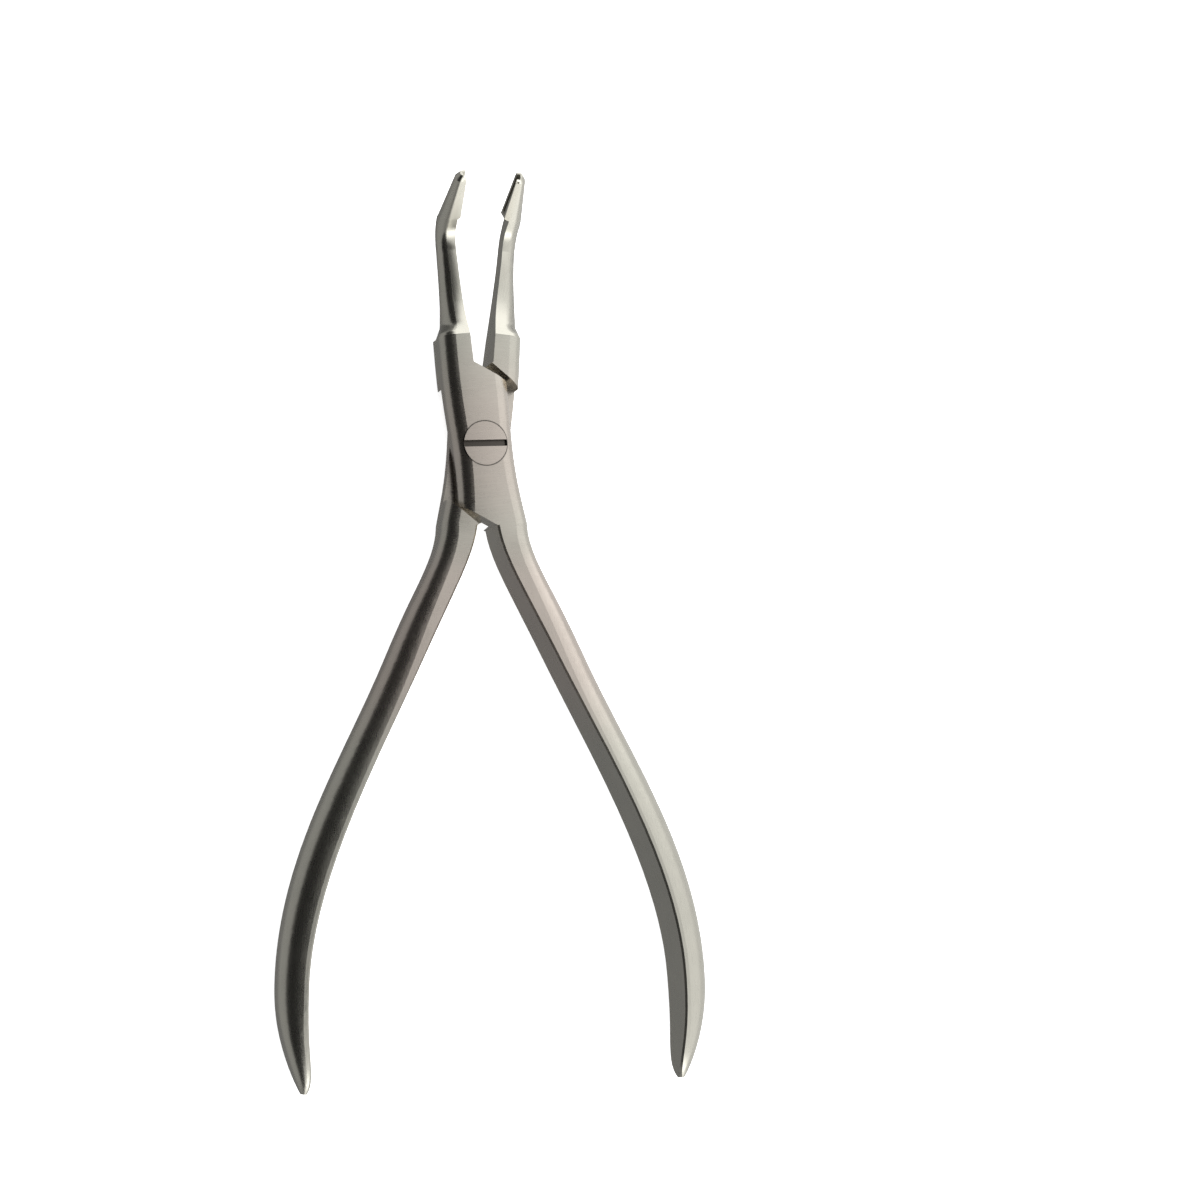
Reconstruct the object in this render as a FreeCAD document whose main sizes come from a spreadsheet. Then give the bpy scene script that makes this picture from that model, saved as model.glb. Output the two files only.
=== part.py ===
import FreeCAD, Part
import math
import os
import Sketcher
from FreeCAD import Placement, Rotation, Vector

# Bent-nose lap-joint pliers with a toothed groove in each jaw, in millimetres.
# Frame: the pivot axis is +Z, the jaws point along +Y, and +X is to the right when
# the screw head faces the viewer. The flat back of the joint lies on Z = 0.
# Both levers are drawn closed, with their grip faces on X = 0, and each one's
# Placement then opens it about the pivot.

# ---------------------------------------------------------------- driving dimensions
SIZES = [
    ("half_opening", 5.7, "each lever's turn from closed, degrees"),
    ("joint_thick", 7.8, "thickness of the joint"),
    ("lap_gap", 0.06, "running gap between the two laps"),
    ("stop_gap", 0.12, "gap left at the step faces when the jaws are shut"),
    ("edge_round", 2.2, "rounding of the joint's long edges"),
    ("shoulder_round", 2.2, "rounding of the jaw's outer edges at the shoulder"),
    ("heel_half", 5.45, "half width where the handle starts"),
    ("heel_down", 12.6, "pivot to the start of the handle"),
    ("handle_break", 0.3, "bevel along the handle's inner edges"),
    ("step_reach", 12.4, "pivot to the step faces, along the parting plane"),
    ("step_slope", 34.0, "slope of the step faces, degrees"),
    ("back_start", 10.0, "pivot to the start of the jaw's tapered back"),
    ("back_rise", 1.9, "rise of the tapered back at the shoulder"),
    ("clear_half", 8.0, "half width of the cuts across the joint"),
    ("clear_past", 16.0, "reach of those cuts past the step faces"),
    ("lap_splay", 0.5, "widening of the lap's two notches at their far ends"),
    ("jaw_relief", 0.3, "inner face of the jaw behind the grip plane, at the notch"),
    ("grip_gap", 0.02, "grip face to the parting plane when shut"),
    ("front_relief", 0.45, "front lever's bend behind the grip plane"),
    ("rear_relief", 0.85, "rear lever's bend behind the grip plane"),
    ("nose_lift", 0.7, "middle of the jaw in front of the joint's middle"),
    ("bend_start", 30.3, "pivot to the start of the bend"),
    ("bend_radius", 5.2, "centre-line radius of the bend"),
    ("bend_angle", 58.0, "turn of the nose towards the viewer, degrees"),
    ("bend_round", 1.3, "rounding of the bend's outer corners"),
    ("tip_round", 0.7, "rounding of the tip's outer corners"),
    ("pad_start", 0.77, "end of the bend to the foot of the grip pad"),
    ("pad_slope_run", 0.31, "length of the pad's sloped heel"),
    ("pad_slant", 25.0, "slant of the pad's heel across the nose, degrees"),
    ("nose_length", 9.75, "end of the bend to the tip"),
    ("tip_bevel", 0.9, "length of the tip's rounded-off end"),
    ("tip_narrowing", 0.65, "size of the end face as a share of the tip"),
    ("groove_turn", 3.5, "groove's slope across the pad, degrees"),
    ("groove_shift", 0.35, "groove's start, from the middle towards the back"),
    ("groove_wide", 0.8, "width of the grip groove"),
    ("groove_deep", 0.5, "depth of the grip groove"),
    ("groove_start", 0.6, "top of the pad's heel to the closed end of the groove"),
    ("tooth_start", 0.2, "closed end of the groove to the first tooth space"),
    ("tooth_pitch", 0.58, "pitch of the groove's teeth"),
    ("tooth_gap", 0.28, "width of the space between two teeth"),
    ("tooth_deep", 0.34, "height of a tooth"),
    ("tooth_count", 14, "teeth on the groove's lower wall"),
    ("head_dia", 6.7, "screw head"),
    ("head_thick", 1.6, "screw head, flush with the front"),
    ("collar_dia", 4.6, "plain collar that the front lever turns on"),
    ("thread_dia", 4.0, "threaded end, fixed in the rear lever"),
    ("run_gap", 0.05, "radial running gap round the screw"),
    ("slot_wide", 1.0, "screwdriver slot"),
    ("slot_deep", 0.8, "depth of the slot"),
    ("slot_turn", 2.0, "turn of the slot from crosswise, degrees"),
]

# Joint stations, down from the pivot (up is negative): distance, half width.
JOINT = [
    (-17.0, 4.78),
    (-9.0, 4.95),
    (-4.0, 4.80),
    (0.5, 4.64),
    (6.5, 4.80),
    ("heel_down", "heel_half"),
]

# Handle stations, down from the pivot: distance, inner face, outer side, depth, rounding.
HANDLE = [
    ("heel_down", "jaw_relief", "heel_half", "joint_thick", "edge_round"),
    (18.0, 1.33, 6.28, 7.8, 2.6),
    (24.0, 3.48, 8.55, 8.0, 3.0),
    (30.0, 5.80, 10.85, 8.3, 3.4),
    (38.0, 8.82, 13.65, 8.6, 3.7),
    (52.0, 14.20, 19.00, 9.2, 4.0),
    (66.0, 18.60, 23.30, 9.4, 3.9),
    (79.0, 20.65, 24.95, 9.0, 3.5),
    (89.0, 20.20, 24.05, 8.2, 3.0),
    (95.0, 19.20, 21.95, 6.2, 2.0),
    (98.0, 18.90, 20.50, 3.4, 1.1),
    (99.0, 19.10, 19.90, 1.5, 0.4),
]

# Jaw stations, up from the pivot to the bend: distance, inner face and outer side of the front
# and of the rear lever's jaw, depth, rounding, and the middle in front of the joint's middle.
SHANK = [
    (18.6, 0.33, 4.05, 0.33, 3.95, 4.9, 2.0, 0.9),
    (21.5, 0.40, 3.70, 0.45, 3.75, 3.7, 1.7, 0.72),
    (26.0, "front_relief", 3.40, 0.70, 3.30, 3.2, 1.5, "nose_lift"),
]

doc = FreeCAD.newDocument("GroovedPliers")
sheet = doc.addObject("Spreadsheet::Sheet", "Sizes")


def add_size(row, alias, value, note=""):
    sheet.set("A%d" % row, alias)
    sheet.set("B%d" % row, str(value))
    sheet.set("C%d" % row, note)
    sheet.setAlias("B%d" % row, alias)


for row, (alias, value, note) in enumerate(SIZES, start=1):
    add_size(row, alias, value, note)
next_row = len(SIZES) + 1


def add_stations(prefix, words, stations):
    """Put a list of stations in the sheet and return the aliases of each one."""
    global next_row
    named = []
    for number, station in enumerate(stations, start=1):
        aliases = []
        for word, value in zip(words, station):
            alias = value
            if not isinstance(value, str):
                alias = "%s_%s_%s" % (prefix, word, chr(96 + number))
                add_size(next_row, alias, value)
                next_row += 1
            aliases.append(alias)
        named.append(aliases)
    return named


D_WORDS = ("at", "inner", "outer", "depth", "round")
joint_stations = add_stations("joint", ("at", "half"), JOINT)
handle_stations = add_stations("handle", D_WORDS, HANDLE)
SHANK_WORDS = (
    "at", "front_inner", "front_outer", "rear_inner", "rear_outer", "depth", "round", "lift"
)
shank_stations = add_stations("shank", SHANK_WORDS, SHANK)
nose = {}
for lever, outer, tip_outer, depth, tip_depth in (
    ("front", 3.15, 1.40, 3.1, 1.8),
    ("rear", 3.10, 1.35, 2.9, 1.7),
):
    nose[lever] = {}
    for word, value in (
        ("outer", outer),
        ("tip_outer", tip_outer),
        ("depth", depth),
        ("tip_depth", tip_depth),
    ):
        alias = "%s_nose_%s" % (lever, word)
        add_size(next_row, alias, value)
        next_row += 1
        nose[lever][word] = alias
doc.recompute()


def size(alias):
    return float(sheet.get(alias))


def cell(alias):
    return "Sizes.%s" % alias


MIDDLE = "%s / 2" % cell("joint_thick")
NOSE_MIDDLE = "%s + %s" % (MIDDLE, cell("nose_lift"))


# ---------------------------------------------------------------- sketch helpers
def origin_plane(body, role):
    for feature in body.Origin.OriginFeatures:
        if feature.Role == role:
            return feature
    raise ValueError(role)


def new_sketch(body, name, role):
    sketch = body.newObject("Sketcher::SketchObject", name)
    sketch.AttachmentSupport = [(origin_plane(body, role), "")]
    sketch.MapMode = "FlatFace"
    return sketch


def bind(sketch, number, expression):
    sketch.setExpression("Constraints[%d]" % number, expression)


def place(sketch, up=None, along=None, turn=None, axis=Vector(1, 0, 0)):
    """Shift and tilt a sketch inside its plane's own axes, by expressions."""
    if turn:
        sketch.AttachmentOffset = Placement(Vector(0, 0, 0), Rotation(axis, 10))
        sketch.setExpression("AttachmentOffset.Rotation.Angle", turn)
    if up:
        sketch.setExpression("AttachmentOffset.Base.y", up)
    if along:
        sketch.setExpression("AttachmentOffset.Base.z", along)


def d_section(
    body, name, side, inner, outer, depth, rounding, up, along, turn=None, bevel=None
):
    """A D-shaped section: a flat inner face and two rounded outer corners.

    side is +1 or -1 for the side of the parting plane that it lies on. The other
    arguments are expressions; the section is centred on its own X axis. A bevel
    breaks the two inner corners.
    """
    sketch = new_sketch(body, name, "XZ_Plane")
    place(sketch, up, along, turn)
    flat, far, half, bend = 1.0, 5.0, 3.0, 1.5
    corner_x = side * (far - bend)
    corner_y = half - bend
    normal = Vector(0, 0, 1)
    upper = Part.Circle(Vector(corner_x, corner_y, 0), normal, bend)
    lower = Part.Circle(Vector(corner_x, -corner_y, 0), normal, bend)
    quarter = math.pi / 2
    if side > 0:
        upper_span = (0, quarter)
        lower_span = (3 * quarter, 4 * quarter)
        upper_far, upper_top, lower_far, lower_low = 1, 2, 2, 1
    else:
        upper_span = (quarter, 2 * quarter)
        lower_span = (2 * quarter, 3 * quarter)
        upper_far, upper_top, lower_far, lower_low = 2, 1, 1, 2
    line = Part.LineSegment
    sketch.addGeometry(
        [
            line(Vector(side * flat, -half, 0), Vector(side * flat, half, 0)),
            line(Vector(side * flat, half, 0), Vector(corner_x, half, 0)),
            Part.ArcOfCircle(upper, *upper_span),
            line(Vector(side * far, corner_y, 0), Vector(side * far, -corner_y, 0)),
            Part.ArcOfCircle(lower, *lower_span),
            line(Vector(corner_x, -half, 0), Vector(side * flat, -half, 0)),
        ]
    )
    rule = Sketcher.Constraint
    sketch.addConstraint(
        [
            rule("Tangent", 1, 2, 2, upper_top),
            rule("Tangent", 3, 1, 2, upper_far),
            rule("Tangent", 3, 2, 4, lower_far),
            rule("Tangent", 5, 1, 4, lower_low),
            rule("Horizontal", 1),
            rule("Vertical", 3),
            rule("Horizontal", 5),
            rule("Symmetric", 0, 1, 0, 2, -1),
            rule("Equal", 2, 4),
        ]
    )
    if bevel:
        broken = 0.2
        inner_end = Vector(side * flat, half, 0)
        outer_end = Vector(side * (flat + broken), half, 0)
        upper_bevel = sketch.addGeometry(line(inner_end, outer_end))
        inner_end = Vector(side * flat, -half, 0)
        outer_end = Vector(side * (flat + broken), -half, 0)
        lower_bevel = sketch.addGeometry(line(outer_end, inner_end))
        sketch.addConstraint(
            [
                rule("Coincident", 0, 2, upper_bevel, 1),
                rule("Coincident", upper_bevel, 2, 1, 1),
                rule("Coincident", 5, 2, lower_bevel, 1),
                rule("Coincident", lower_bevel, 2, 0, 1),
                rule("Symmetric", 1, 1, 5, 2, -1),
            ]
        )
        across = rule("DistanceX", upper_bevel, 1, upper_bevel, 2, side * broken)
        bind(sketch, sketch.addConstraint(across), "%d * (%s)" % (side, bevel))
        upward = rule("DistanceY", upper_bevel, 1, upper_bevel, 2, broken)
        bind(sketch, sketch.addConstraint(upward), bevel)
    else:
        sketch.addConstraint(
            [rule("Coincident", 0, 2, 1, 1), rule("Coincident", 5, 2, 0, 1)]
        )
    first = sketch.addConstraint(rule("DistanceX", -1, 1, 0, 1, side * flat))
    bind(sketch, first, "%d * (%s)" % (side, inner))
    bind(sketch, sketch.addConstraint(rule("DistanceX", -1, 1, 3, 1, side * far)),
         "%d * (%s)" % (side, outer))
    bind(sketch, sketch.addConstraint(rule("DistanceY", 5, 2, 1, 1, 2 * half)), depth)
    bind(sketch, sketch.addConstraint(rule("Radius", 2, bend)), rounding)
    return sketch


def polygon(body, name, role, corners, up=None, along=None, turn=None, axis=Vector(1, 0, 0)):
    """A closed polygon whose corners are pairs of expressions."""
    sketch = new_sketch(body, name, role)
    place(sketch, up, along, turn, axis)
    rule = Sketcher.Constraint
    count = len(corners)
    start = []
    for number in range(count):
        angle = 2 * math.pi * number / count
        start.append(Vector(math.cos(angle), math.sin(angle), 0))
    for number in range(count):
        sketch.addGeometry(Part.LineSegment(start[number], start[(number + 1) % count]))
    for number in range(count):
        sketch.addConstraint(rule("Coincident", number, 2, (number + 1) % count, 1))
    for number, (across, upward) in enumerate(corners):
        place_x = rule("DistanceX", -1, 1, number, 1, start[number].x)
        bind(sketch, sketch.addConstraint(place_x), across)
        place_y = rule("DistanceY", -1, 1, number, 1, start[number].y)
        bind(sketch, sketch.addConstraint(place_y), upward)
    return sketch


def loft(body, name, sections, ruled):
    feature = body.newObject("PartDesign::AdditiveLoft", name)
    feature.Profile = sections[0]
    feature.Sections = sections[1:]
    feature.Ruled = ruled
    doc.recompute()
    return feature


def pocket(body, name, sketch, reversed_cut, length=None, both_ways=False):
    """Cut a sketch's outline; through everything when no length is given."""
    before = body.Shape.Volume
    feature = body.newObject("PartDesign::Pocket", name)
    feature.Profile = sketch
    feature.Reversed = reversed_cut
    if length:
        feature.Type = "Length"
        feature.setExpression("Length", length)
    else:
        feature.Type = "ThroughAll"
        feature.Midplane = both_ways
    doc.recompute()
    if body.Shape.Volume >= before:
        raise RuntimeError("%s cuts nothing" % name)
    return feature


# ---------------------------------------------------------------- pieces of a lever
def full_section(body, name, half_width, along):
    """A section through the whole joint: a rectangle with four rounded corners."""
    sketch = new_sketch(body, name, "XZ_Plane")
    place(sketch, MIDDLE, along)
    wide, half, bend = 5.0, 4.0, 2.0
    far = wide - bend
    high = half - bend
    normal = Vector(0, 0, 1)
    quarter = math.pi / 2
    line = Part.LineSegment

    def corner(x, y, turns):
        circle = Part.Circle(Vector(x, y, 0), normal, bend)
        return Part.ArcOfCircle(circle, turns * quarter, (turns + 1) * quarter)

    sketch.addGeometry(
        [
            line(Vector(far, half, 0), Vector(-far, half, 0)),
            corner(-far, high, 1),
            line(Vector(-wide, high, 0), Vector(-wide, -high, 0)),
            corner(-far, -high, 2),
            line(Vector(-far, -half, 0), Vector(far, -half, 0)),
            corner(far, -high, 3),
            line(Vector(wide, -high, 0), Vector(wide, high, 0)),
            corner(far, high, 0),
        ]
    )
    rule = Sketcher.Constraint
    count = 8
    for number in range(count):
        sketch.addConstraint(rule("Tangent", number, 2, (number + 1) % count, 1))
    sketch.addConstraint(
        [
            rule("Equal", 1, 3),
            rule("Equal", 1, 5),
            rule("Equal", 1, 7),
            rule("Symmetric", 0, 1, 0, 2, -2),
            rule("Symmetric", 6, 1, 6, 2, -1),
            rule("Vertical", 2),
            rule("Horizontal", 4),
        ]
    )
    for kind, geometry, value, text in (
        ("DistanceX", 6, wide, half_width),
        ("DistanceY", 0, half, MIDDLE),
    ):
        number = sketch.addConstraint(rule(kind, -1, 1, geometry, 1, value))
        bind(sketch, number, text)
    bind(sketch, sketch.addConstraint(rule("Radius", 1, bend)), cell("edge_round"))
    return sketch


def joint_block(body):
    """The full joint, both halves, before the lap is cut: a waisted block, edges rounded."""
    sections = []
    for number, (at, half_width) in enumerate(joint_stations):
        name = "JointSection%d" % number
        sections.append(full_section(body, name, cell(half_width), cell(at)))
    loft(body, "Joint", sections, ruled=False)


def handle(body, side):
    sections = []
    for number, station in enumerate(handle_stations):
        at, inner, outer, depth, rounding = [cell(alias) for alias in station]
        name = "HandleSection%d" % number
        sections.append(
            d_section(
                body, name, side, inner, outer, depth, rounding, MIDDLE, at,
                bevel=cell("handle_break"),
            )
        )
    loft(body, "Handle", sections, ruled=False)


def jaw(body, side, lever):
    """Shoulder, shank, bend and nose. side is the side that the jaw lies on."""
    own = {word: cell(alias) for word, alias in nose[lever].items()}
    rise = cell("back_rise")
    relief = cell(lever + "_relief")
    shoulder = d_section(
        body, "ShoulderSection", side, cell("jaw_relief"), cell("joint_half_a"),
        "%s - %s" % (cell("joint_thick"), rise), cell("shoulder_round"),
        "%s + %s / 2" % (MIDDLE, rise), cell("joint_at_a"),
    )
    sections = []
    for number, station in enumerate(shank_stations):
        at, *sides, depth, rounding, lift = [cell(alias) for alias in station]
        inner, outer = sides[:2] if lever == "front" else sides[2:]
        name = "ShankSection%d" % number
        up = "%s + %s" % (MIDDLE, lift)
        sections.append(
            d_section(body, name, side, inner, outer, depth, rounding, up, "-" + at)
        )
    bend_section = d_section(
        body, "BendSection", side, relief, own["outer"], own["depth"],
        cell("bend_round"), NOSE_MIDDLE, "-" + cell("bend_start"),
    )
    sections.append(bend_section)
    loft(body, "Shoulder", [shoulder, sections[0]], ruled=True)
    loft(body, "Shank", sections, ruled=False)
    bend(body, side, bend_section)

    def tapered(at, start, end):
        return "(%s + (%s - %s) * (%s) / %s)" % (start, end, start, at, cell("nose_length"))

    turn = cell("bend_angle")
    foot = cell("pad_start")
    crest = "%s + %s" % (foot, cell("pad_slope_run"))
    tip = cell("nose_length")
    bevel = "%s - %s" % (tip, cell("tip_bevel"))
    nose_sections = []
    slanted = "%s - %s" % (turn, cell("pad_slant"))
    longer = "1 / cos(%s)" % cell("pad_slant")
    for name, at, inner, share, tilt, stretch in (
        ("BendEnd", "0", relief, "1", turn, "1"),
        ("PadFoot", foot, relief, "1", slanted, longer),
        ("PadCrest", crest, cell("grip_gap"), "1", slanted, longer),
        ("TipBevel", bevel, cell("grip_gap"), "1", turn, "1"),
        ("Tip", tip, cell("grip_gap"), cell("tip_narrowing"), turn, "1"),
    ):
        up, along = bend_point(turn, at)
        nose_sections.append(
            d_section(
                body, name, side, inner,
                share + " * " + tapered(at, own["outer"], own["tip_outer"]),
                stretch + " * " + share + " * " + tapered(at, own["depth"], own["tip_depth"]),
                share + " * " + tapered(at, cell("bend_round"), cell("tip_round")),
                up, along, tilt,
            )
        )
    loft(body, "Nose", nose_sections, ruled=True)


def bend(body, side, section):
    """Turn the shank's end section about a line across the jaw."""
    radius = size("bend_radius")
    axis = Part.LineSegment(Vector(0, radius, 0), Vector(side, radius, 0))
    line = section.addGeometry(axis, True)
    rule = Sketcher.Constraint
    section.addConstraint(
        [
            rule("Horizontal", line),
            rule("PointOnObject", line, 1, -2),
            rule("DistanceX", line, 1, line, 2, side),
        ]
    )
    number = section.addConstraint(rule("DistanceY", -1, 1, line, 1, radius))
    bind(section, number, cell("bend_radius"))
    before = body.Shape.Volume
    turned = body.newObject("PartDesign::Revolution", "Bend")
    turned.Profile = section
    turned.ReferenceAxis = (section, ["Axis0"])
    turned.setExpression("Angle", cell("bend_angle"))
    turned.Reversed = side < 0
    doc.recompute()
    if body.Shape.Volume <= before:
        raise RuntimeError("the bend adds nothing")


def bend_point(turn, straight):
    """Height and (reversed) reach of the centre line: a turn of the bend, then a straight."""
    radius = cell("bend_radius")
    up = "%s + %s * (1 - cos(%s)) + (%s) * sin(%s)" % (
        NOSE_MIDDLE, radius, turn, straight, turn,
    )
    along = "-(%s + %s * sin(%s) + (%s) * cos(%s))" % (
        cell("bend_start"), radius, turn, straight, turn,
    )
    return up, along


def cut_joint(body, side):
    """Cut the step faces and the lap. side is the side of the lever's own handle.

    The front lever's handle is on the right and its lap is the front half.
    """
    wide = cell("clear_half")
    slope = "tan(%s)" % cell("step_slope")
    reach = cell("step_reach")
    relief = cell("jaw_relief")
    splay = cell("lap_splay")
    beyond = "(%s + %s)" % (reach, cell("clear_past"))

    def point(x, y):
        return "%d * (%s)" % (side, x), y

    outline = polygon(
        body, "OtherJaw", "XY_Plane",
        [
            point("-" + relief, beyond),
            point("-" + relief, "%s + %s * %s" % (reach, relief, slope)),
            point(wide, "%s - %s * %s" % (reach, wide, slope)),
            point(wide, beyond),
        ],
    )
    pocket(body, "ClearOtherJaw", outline, True)
    outline = polygon(
        body, "OtherHandle", "XY_Plane",
        [
            point("-" + wide, "%s * %s - %s" % (wide, slope, reach)),
            point(relief, "-(%s + %s * %s)" % (reach, relief, slope)),
            point(relief, "-" + beyond),
            point("-" + wide, "-" + beyond),
        ],
    )
    pocket(body, "ClearOtherHandle", outline, True)
    # The lap: half the thickness goes, between this lever's own two step faces.
    ledge = "(%s + %s)" % (reach, cell("stop_gap"))
    outline = polygon(
        body, "Lap", "XY_Plane",
        [
            point("-" + wide, "%s - %s * %s" % (ledge, wide, slope)),
            point("0", ledge),
            point(splay, beyond),
            point(wide, beyond),
            point(wide, "%s * %s - %s" % (wide, slope, ledge)),
            point("0", "-" + ledge),
            point("-" + splay, "-" + beyond),
            point("-" + wide, "-" + beyond),
        ],
        along=None if side > 0 else cell("joint_thick"),
    )
    half = "(%s + %s) / 2" % (cell("joint_thick"), cell("lap_gap"))
    pocket(body, "ClearLap", outline, side > 0, half)


def taper_back(body):
    """Slope the back of the joint up towards the shoulder, for the thinner jaw."""
    start = cell("back_start")
    below = "-" + cell("joint_thick")
    reach = "(%s + %s)" % (cell("step_reach"), cell("clear_past"))
    run = "(-%s - %s)" % (cell("joint_at_a"), start)
    rise = "%s * (%s - %s) / %s" % (cell("back_rise"), reach, start, run)
    outline = polygon(
        body, "BackOutline", "YZ_Plane",
        [(start, "0"), (start, below), (reach, below), (reach, rise)],
    )
    pocket(body, "TaperedBack", outline, False, both_ways=True)


def groove(body, side):
    """The toothed groove in the grip face. side is the side that the jaw lies on."""
    turn = cell("bend_angle")
    radius = cell("bend_radius")
    base_y = "%s + %s * sin(%s)" % (cell("bend_start"), radius, turn)
    base_z = "%s + %s * (1 - cos(%s))" % (NOSE_MIDDLE, radius, turn)
    turn = "%s + %s" % (turn, cell("groove_turn"))
    shift = cell("groove_shift")
    into = side > 0

    def grip_sketch(name, corners):
        sketch = polygon(body, name, "YZ_Plane", corners, turn=turn, axis=Vector(0, 0, 1))
        sketch.setExpression("AttachmentOffset.Base.x", base_y)
        sketch.setExpression("AttachmentOffset.Base.y", base_z)
        return sketch

    start = "%s + %s + %s" % (cell("pad_start"), cell("pad_slope_run"), cell("groove_start"))
    half = "%s / 2" % cell("groove_wide")
    low = "-%s - %s" % (half, shift)
    high = "%s - %s" % (half, shift)
    end = "%s + %s" % (cell("nose_length"), cell("groove_wide"))
    depth = "%s + %s" % (cell("grip_gap"), cell("groove_deep"))
    outline = grip_sketch(
        "GrooveOutline",
        [(start, low), (end, low), (end, high), (start, high)],
    )
    pocket(body, "Groove", outline, into, depth)
    first = "%s + %s" % (start, cell("tooth_start"))
    last = "%s + %s" % (first, cell("tooth_gap"))
    top = "%s + %s" % (high, cell("tooth_deep"))
    foot = "-%s" % shift
    outline = grip_sketch(
        "ToothOutline",
        [(first, foot), (last, foot), (last, top), (first, top)],
    )
    gap = pocket(body, "ToothGap", outline, into, depth)
    row = body.newObject("PartDesign::LinearPattern", "Teeth")
    row.Originals = [gap]
    row.Direction = (outline, ["H_Axis"])
    row.Mode = "Spacing"
    row.setExpression("Offset", cell("tooth_pitch"))
    row.setExpression("Occurrences", cell("tooth_count"))
    body.Tip = row
    doc.recompute()


def disc(body, name, diameter, height):
    """A circle about the pivot axis, on a plane at the given height."""
    sketch = new_sketch(body, name, "XY_Plane")
    place(sketch, along=height)
    sketch.addGeometry(Part.Circle(Vector(0, 0, 0), Vector(0, 0, 1), 2))
    sketch.addConstraint(Sketcher.Constraint("Coincident", 0, 3, -1, 1))
    number = sketch.addConstraint(Sketcher.Constraint("Diameter", 0, 4))
    bind(sketch, number, diameter)
    return sketch


def lever_body(name, side):
    """A whole lever; side is +1 when its handle is on the right."""
    body = doc.addObject("PartDesign::Body", name)
    body.Label = name
    joint_block(body)
    taper_back(body)
    cut_joint(body, side)
    handle(body, side)
    jaw(body, -side, name.split("_")[0])
    groove(body, -side)
    body.Placement = Placement(Vector(0, 0, 0), Rotation(Vector(0, 0, 1), side))
    body.setExpression("Placement.Rotation.Angle", "%d * %s" % (side, cell("half_opening")))
    return body


front = lever_body("front_lever", 1)
gap = "2 * %s" % cell("run_gap")
outline = disc(front, "CollarBore", "%s + %s" % (cell("collar_dia"), gap), cell("joint_thick"))
pocket(front, "CollarHole", outline, False)
outline = disc(front, "HeadBore", "%s + %s" % (cell("head_dia"), gap), cell("joint_thick"))
pocket(front, "HeadSeat", outline, False, "%s + %s" % (cell("head_thick"), cell("run_gap")))

rear = lever_body("rear_lever", -1)
outline = disc(rear, "ThreadBore", cell("thread_dia"), cell("joint_thick"))
pocket(rear, "ThreadHole", outline, False)

screw = doc.addObject("PartDesign::Body", "pivot_screw")
screw.Label = "pivot_screw"
lap_top = "(%s - %s) / 2" % (cell("joint_thick"), cell("lap_gap"))
for name, diameter, low, high in (
    ("Thread", "thread_dia", "0", lap_top),
    ("Collar", "collar_dia", lap_top, "%s - %s" % (cell("joint_thick"), cell("head_thick"))),
    ("Head", "head_dia", "%s - %s" % (cell("joint_thick"), cell("head_thick")),
     cell("joint_thick")),
):
    outline = disc(screw, name + "Circle", cell(diameter), low)
    pad = screw.newObject("PartDesign::Pad", name)
    pad.Profile = outline
    pad.setExpression("Length", "(%s) - (%s)" % (high, low))
doc.recompute()
slot_half = "%s / 2" % cell("slot_wide")
head_side = cell("head_dia")
outline = polygon(
    screw, "SlotOutline", "XY_Plane",
    [
        ("-" + head_side, "-" + slot_half),
        (head_side, "-" + slot_half),
        (head_side, slot_half),
        ("-" + head_side, slot_half),
    ],
    along=cell("joint_thick"),
)
pocket(screw, "Slot", outline, False, cell("slot_deep"))
screw.Placement = Placement(Vector(0, 0, 0), Rotation(Vector(0, 0, 1), 1))
screw.setExpression("Placement.Rotation.Angle", cell("slot_turn"))

doc.recompute()
for item in doc.Objects:
    if "Invalid" in item.State or "Error" in item.State:
        raise RuntimeError("%s failed: %s" % (item.Name, item.State))
os.makedirs("parts", exist_ok=True)
for body in (front, rear, screw):
    shape = body.Shape
    if shape.isNull() or not shape.isValid():
        raise RuntimeError("%s has no valid shape" % body.Label)
    print(body.Label, len(shape.Solids), round(shape.Volume, 1), shape.BoundBox)
    shape.exportStep("parts/%s.step" % body.Label)
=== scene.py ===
"""Looks for the bent-nose grooved pliers: brushed steel, studio light and camera.

Everything is in metres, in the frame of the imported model: the pivot axis is +Z,
the jaws point along +Y, and the tool lies on its back. Steel is shaded by the place
on the closed tool, in millimetres.
"""

import math

import bpy
from mathutils import Matrix, Vector


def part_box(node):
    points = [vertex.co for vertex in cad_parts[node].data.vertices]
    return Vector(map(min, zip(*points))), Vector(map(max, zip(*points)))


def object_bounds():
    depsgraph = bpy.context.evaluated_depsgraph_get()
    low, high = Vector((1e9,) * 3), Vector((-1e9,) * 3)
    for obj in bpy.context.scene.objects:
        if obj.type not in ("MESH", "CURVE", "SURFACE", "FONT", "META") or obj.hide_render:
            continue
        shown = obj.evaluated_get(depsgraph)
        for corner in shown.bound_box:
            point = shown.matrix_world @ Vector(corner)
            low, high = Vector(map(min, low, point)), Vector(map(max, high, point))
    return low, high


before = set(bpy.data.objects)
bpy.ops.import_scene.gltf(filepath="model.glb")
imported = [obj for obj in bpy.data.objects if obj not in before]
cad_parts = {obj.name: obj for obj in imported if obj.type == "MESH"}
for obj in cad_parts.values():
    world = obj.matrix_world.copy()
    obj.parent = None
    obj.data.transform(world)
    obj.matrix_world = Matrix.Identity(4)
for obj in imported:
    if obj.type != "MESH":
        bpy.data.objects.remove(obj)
cad_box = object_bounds()
MM = 0.001

# ------------------------------------------------------------------ camera
VIEW_SIZE = 181.8 * MM
AXIS_RIGHT = 2.1 * MM
AXIS_BELOW = 26.8 * MM
SHIFT_RIGHT = 15.2 * MM
SHIFT_UP = 3.0 * MM
DISTANCE = 420 * MM
TURN = math.radians(15.0)
LEAN = math.radians(-5.3)
ROLL = math.radians(-1.5)
SENSOR = 36.0


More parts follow.
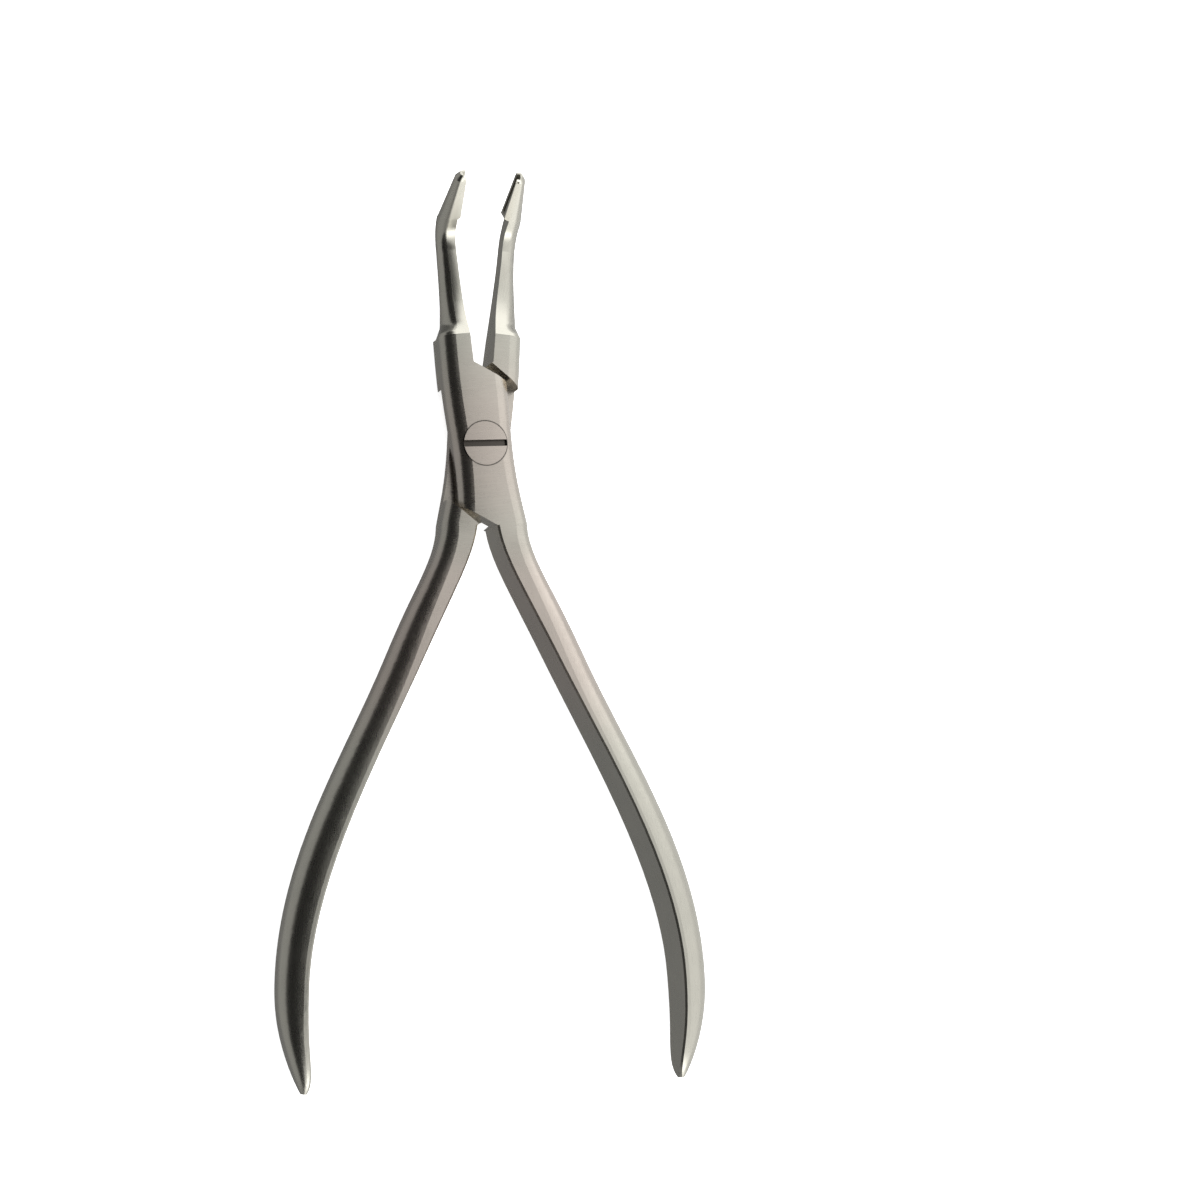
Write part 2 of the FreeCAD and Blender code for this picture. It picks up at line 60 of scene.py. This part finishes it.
def add_camera():
    """Look down from a little to the left, at a point between the joint and the handles.

    The view is VIEW_SIZE wide at the screw head. The lens points AXIS_RIGHT and
    AXIS_BELOW of the pivot, and the frame is shifted sideways and up from there.
    """
    pivot = Vector((0, 0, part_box("pivot_screw")[1].z))
    towards = Vector((
        -math.sin(TURN) * math.cos(LEAN),
        math.sin(LEAN),
        math.cos(TURN) * math.cos(LEAN),
    ))
    right = Vector((math.cos(TURN), 0, math.sin(TURN)))
    up = towards.cross(right)
    rolled_right = math.cos(ROLL) * right + math.sin(ROLL) * up
    rolled_up = math.cos(ROLL) * up - math.sin(ROLL) * right
    target = pivot + AXIS_RIGHT * rolled_right - AXIS_BELOW * rolled_up
    place = target + DISTANCE * towards
    data = bpy.data.cameras.new("camera")
    data.sensor_width = SENSOR
    data.lens = SENSOR * DISTANCE / VIEW_SIZE
    data.shift_x = SHIFT_RIGHT / VIEW_SIZE
    data.shift_y = SHIFT_UP / VIEW_SIZE
    data.clip_start = 0.01
    data.clip_end = 10
    camera = bpy.data.objects.new("camera", data)
    bpy.context.scene.collection.objects.link(camera)
    axes = Matrix((rolled_right, rolled_up, towards)).transposed().to_4x4()
    camera.matrix_world = Matrix.Translation(place) @ axes
    bpy.context.scene.camera = camera


# ------------------------------------------------------------------ node helpers
def put(socket, value):
    """Link a socket, or set it to a constant."""
    if isinstance(value, bpy.types.NodeSocket):
        socket.id_data.links.new(value, socket)
    else:
        socket.default_value = value


def add_node(tree, kind, inputs=None, **settings):
    made = tree.nodes.new(kind)
    for name, value in settings.items():
        setattr(made, name, value)
    for key, value in (inputs or {}).items():
        put(made.inputs[key], value)
    return made


def calc(tree, operation, *values):
    made = add_node(tree, "ShaderNodeMath", dict(enumerate(values)), operation=operation)
    return made.outputs[0]


def add(tree, *values):
    total = values[0]
    for value in values[1:]:
        total = calc(tree, "ADD", total, value)
    return total


def times(tree, a, b):
    return calc(tree, "MULTIPLY", a, b)


def largest(tree, a, b):
    return calc(tree, "MAXIMUM", a, b)


def step(tree, value, low, high, start=0.0, end=1.0):
    """A smooth step: start below low, end above high. low may be the larger of the two."""
    made = add_node(
        tree, "ShaderNodeMapRange",
        {0: value, 1: low, 2: high, 3: start, 4: end}, interpolation_type="SMOOTHSTEP",
    )
    return made.outputs[0]


def blend_numbers(tree, amount, low, high):
    made = add_node(tree, "ShaderNodeMix", {"Factor": amount, 2: low, 3: high}, data_type="FLOAT")
    return made.outputs[0]


def blend_colours(tree, amount, low, high):
    inputs = {"Factor": amount, 6: (*low, 1), 7: (*high, 1)}
    return add_node(tree, "ShaderNodeMix", inputs, data_type="RGBA").outputs[2]


def scale_vector(tree, vector, amount):
    made = add_node(
        tree, "ShaderNodeVectorMath", {0: vector, "Scale": amount}, operation="SCALE"
    )
    return made.outputs[0]


# ------------------------------------------------------------------ stage and light
PAPER = (0.93, 0.93, 0.93)
PAPER_GLOW = 0.85
FLOOR_HALF = 20.0
LAMP_PLACE = (0.1, 0.1, 0.9)
LAMP_TARGET = (0, -0.03, 0)
LAMP_SIZE = 0.8
LAMP_POWER = 9.0
LOW_LIGHT = 1.35
DARK_SIDE = 0.02


def paper():
    """White paper, bright enough to hide the tool's shadow."""
    material = bpy.data.materials.new("floor_paper")
    material.use_nodes = True
    shader = material.node_tree.nodes["Principled BSDF"]
    shader.inputs["Base Color"].default_value = (*PAPER, 1)
    shader.inputs["Roughness"].default_value = 0.9
    shader.inputs["Emission Color"].default_value = (*PAPER, 1)
    shader.inputs["Emission Strength"].default_value = PAPER_GLOW
    return material


def add_stage():
    """A wide white floor that the tool rests on. The steel mirrors the studio, not the floor."""
    low = cad_box[0].z
    half = FLOOR_HALF
    mesh = bpy.data.meshes.new("floor")
    corners = [(-half, -half, low), (half, -half, low), (half, half, low), (-half, half, low)]
    mesh.from_pydata(corners, [], [(0, 1, 2, 3)])
    floor = bpy.data.objects.new("floor", mesh)
    bpy.context.scene.collection.objects.link(floor)
    mesh.materials.append(paper())
    floor.visible_glossy = False


def add_lamp():
    """A square lamp overhead that lights the floor. The steel doesn't mirror it."""
    data = bpy.data.lights.new("overhead", "AREA")
    data.shape = "RECTANGLE"
    data.size = LAMP_SIZE
    data.size_y = LAMP_SIZE
    data.energy = LAMP_POWER
    light = bpy.data.objects.new("overhead", data)
    bpy.context.scene.collection.objects.link(light)
    light.location = LAMP_PLACE
    aim = Vector(LAMP_TARGET) - Vector(LAMP_PLACE)
    light.rotation_euler = aim.to_track_quat("-Z", "Y").to_euler()
    light.visible_glossy = False


def add_studio():
    """The room that the steel mirrors: a broad soft light on the right and dark on the left."""
    world = bpy.data.worlds.new("studio")
    bpy.context.scene.world = world
    world.use_nodes = True
    tree = world.node_tree
    direction = add_node(tree, "ShaderNodeTexCoord").outputs["Generated"]
    x, y, z = add_node(tree, "ShaderNodeSeparateXYZ", {0: direction}).outputs
    # A light beyond the handles, low down.
    beyond_handles = times(tree, step(tree, y, -0.55, -0.85), step(tree, x, -0.3, 0.1))
    low_light = times(tree, beyond_handles, LOW_LIGHT)
    # Above the horizon: dark on the left, the softbox from just right of overhead.
    across = add(tree, x, times(tree, calc(tree, "ABSOLUTE", y), 0.5))
    softbox = step(tree, across, 0.17, 0.37)
    towards_jaws = step(tree, y, 0.22, 0.60, 0.95, 1.65)
    above = add(tree, times(tree, softbox, towards_jaws), DARK_SIDE, low_light)
    # Below it: the table top, half shaded on the left, lit on the right.
    shaded = step(tree, x, -0.75, -0.25, 0.36, 0.19)
    lit = step(tree, x, 0.2, 0.5, 0.0, 0.78)
    table = largest(tree, largest(tree, shaded, lit), low_light)
    is_above = step(tree, z, 0.06, 0.16)
    background = tree.nodes["Background"]
    put(background.inputs["Strength"], blend_numbers(tree, is_above, table, above))
    background.inputs["Color"].default_value = (1, 1, 1, 1)
    bpy.context.scene.view_settings.view_transform = "Standard"


# ------------------------------------------------------------------ steel, in millimetres
STEEL = (0.60, 0.585, 0.515)
ROSY = (0.66, 0.56, 0.505)
ROUGHNESS = 0.21
CROSSWISE = (0.35, 8.0, 3.0)
LENGTHWISE = (8.0, 0.45, 8.0)
CLOUD_SCALE = 0.22
GRAIN_HEIGHT = 0.0008
CLOUD_HEIGHT = 0.012
JOINT_SWELL = 110.0
JAW_SWELL = 7.0
JAW_EDGE = 0.5
FRONT_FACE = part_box("pivot_screw")[1].z / MM
HEAD_RADIUS = (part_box("pivot_screw")[1].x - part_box("pivot_screw")[0].x) / 2 / MM
LEVER_TURN = math.radians(5.7)
SLOT_TURN = math.radians(2.0)


def closed_place(tree, turn):
    """The point in millimetres, turned back to where it is on the closed tool."""
    point = add_node(tree, "ShaderNodeTexCoord").outputs["Object"]
    closed = add_node(
        tree, "ShaderNodeVectorRotate",
        {"Vector": point, "Axis": (0, 0, 1), "Angle": turn}, rotation_type="AXIS_ANGLE",
    ).outputs[0]
    return scale_vector(tree, closed, 1 / MM)


def noise(tree, point, scale, detail):
    made = add_node(
        tree, "ShaderNodeTexNoise", {"Vector": point, "Scale": scale, "Detail": detail}
    )
    return made.outputs["Fac"]


def streaks(tree, point, scale):
    """Fine lines: noise stretched by a different scale along each axis."""
    stretched = add_node(
        tree, "ShaderNodeVectorMath", {0: point, 1: scale}, operation="MULTIPLY"
    ).outputs[0]
    return noise(tree, stretched, 1.0, 2.0)


def radius_of(tree, x, y):
    return calc(tree, "SQRT", add(tree, times(tree, x, x), times(tree, y, y)))


def swell(tree, across, radius):
    """Height of a shallow cylinder of this radius, from its crest."""
    return times(tree, times(tree, across, across), -1 / (2 * radius))


def crown(tree, x, y):
    """A rounded look by shading alone: the solid's front is flat between its bevels.

    On the joint it is slight, under 3 degrees at the edges. On the jaws it is strong,
    about 20 degrees, and stands in for a rounding that the solid lacks.
    """
    aside = calc(tree, "SUBTRACT", calc(tree, "ABSOLUTE", x), JAW_EDGE)
    on_joint = times(tree, step(tree, y, 17.6, 16.8), step(tree, y, -16.0, -12.0))
    on_jaw = step(tree, y, 17.4, 19.0)
    joint = times(tree, swell(tree, x, JOINT_SWELL), on_joint)
    return add(tree, joint, times(tree, swell(tree, aside, JAW_SWELL), on_jaw))


def painted_shade(tree, inside, z, amount):
    """How much light is left under painted shade in a recess, near the joint's front face."""
    by_front = step(tree, z, FRONT_FACE - 2.2, FRONT_FACE - 1.8)
    # Painted shade: the recess is darkened in the colour, not by light.
    in_shade = times(tree, inside, by_front)
    return calc(tree, "SUBTRACT", 1.0, times(tree, in_shade, amount))


def lever_marks(tree, x, y, z):
    """Lengthwise grinding on handle and jaw, rosy by the screw, painted shade in the gap round
    its head.
    """
    handle = step(tree, y, -13.0, -30.0)
    jaw = step(tree, y, 17.5, 22.0)
    near = radius_of(tree, x, y)
    by_screw = step(tree, near, 18.0, 4.0)
    upper_handle = times(tree, step(tree, y, -12.0, -22.0), step(tree, y, -52.0, -34.0))
    rosy = add(tree, times(tree, by_screw, 0.5), times(tree, upper_handle, 0.6))
    # Painted shade: a dark ring in the gap between the screw head and the lever.
    gap = step(tree, near, HEAD_RADIUS + 0.24, HEAD_RADIUS + 0.08)
    return largest(tree, handle, jaw), rosy, painted_shade(tree, gap, z, 0.75)


def screw_marks(tree, x, y, z):
    """Crosswise grinding all over, a little rosy, with painted shade on the slot's floor."""
    # Painted shade: the floor of the slot is darkened in the colour.
    slot = step(tree, z, FRONT_FACE - 0.04, FRONT_FACE - 0.12)
    return 0.0, 0.6, painted_shade(tree, slot, z, 0.82)


def ground_steel(name, turn, marks):
    """marks says how far the grinding is lengthwise, how rosy, and how much light is left by
    painted shade.
    """
    material = bpy.data.materials.new(name)
    material.use_nodes = True
    tree = material.node_tree
    shader = tree.nodes["Principled BSDF"]
    point = closed_place(tree, turn)
    x, y, z = add_node(tree, "ShaderNodeSeparateXYZ", {0: point}).outputs
    lengthwise, rosy, light_left = marks(tree, x, y, z)
    crosswise_lines = streaks(tree, point, CROSSWISE)
    lengthwise_lines = streaks(tree, point, LENGTHWISE)
    grain = blend_numbers(tree, lengthwise, crosswise_lines, lengthwise_lines)
    cloud = noise(tree, point, CLOUD_SCALE, 3.0)
    shade = add(tree, 0.84, times(tree, grain, 0.18), times(tree, cloud, 0.14))
    colour = blend_colours(tree, rosy, STEEL, ROSY)
    # The colour carries grain, and painted shade in the screw's gap and slot.
    tinted = scale_vector(tree, colour, times(tree, shade, light_left))
    put(shader.inputs["Base Color"], tinted)
    shader.inputs["Metallic"].default_value = 1
    rough = add(tree, ROUGHNESS, times(tree, grain, 0.08), times(tree, cloud, 0.06))
    put(shader.inputs["Roughness"], rough)
    lines = times(tree, grain, GRAIN_HEIGHT)
    waves = times(tree, cloud, CLOUD_HEIGHT)
    height = add(tree, crown(tree, x, y), lines, waves)
    bump = add_node(tree, "ShaderNodeBump", {"Strength": 1.0, "Distance": MM, "Height": height})
    put(shader.inputs["Normal"], bump.outputs["Normal"])
    return material


LOOKS = {
    "front_lever": (-LEVER_TURN, lever_marks),
    "rear_lever": (LEVER_TURN, lever_marks),
    "pivot_screw": (-SLOT_TURN, screw_marks),
}
for node, look in LOOKS.items():
    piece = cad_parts[node]
    piece.data.materials.clear()
    piece.data.materials.append(ground_steel(node + "_steel", *look))

add_camera()
add_stage()
add_studio()
add_lamp()
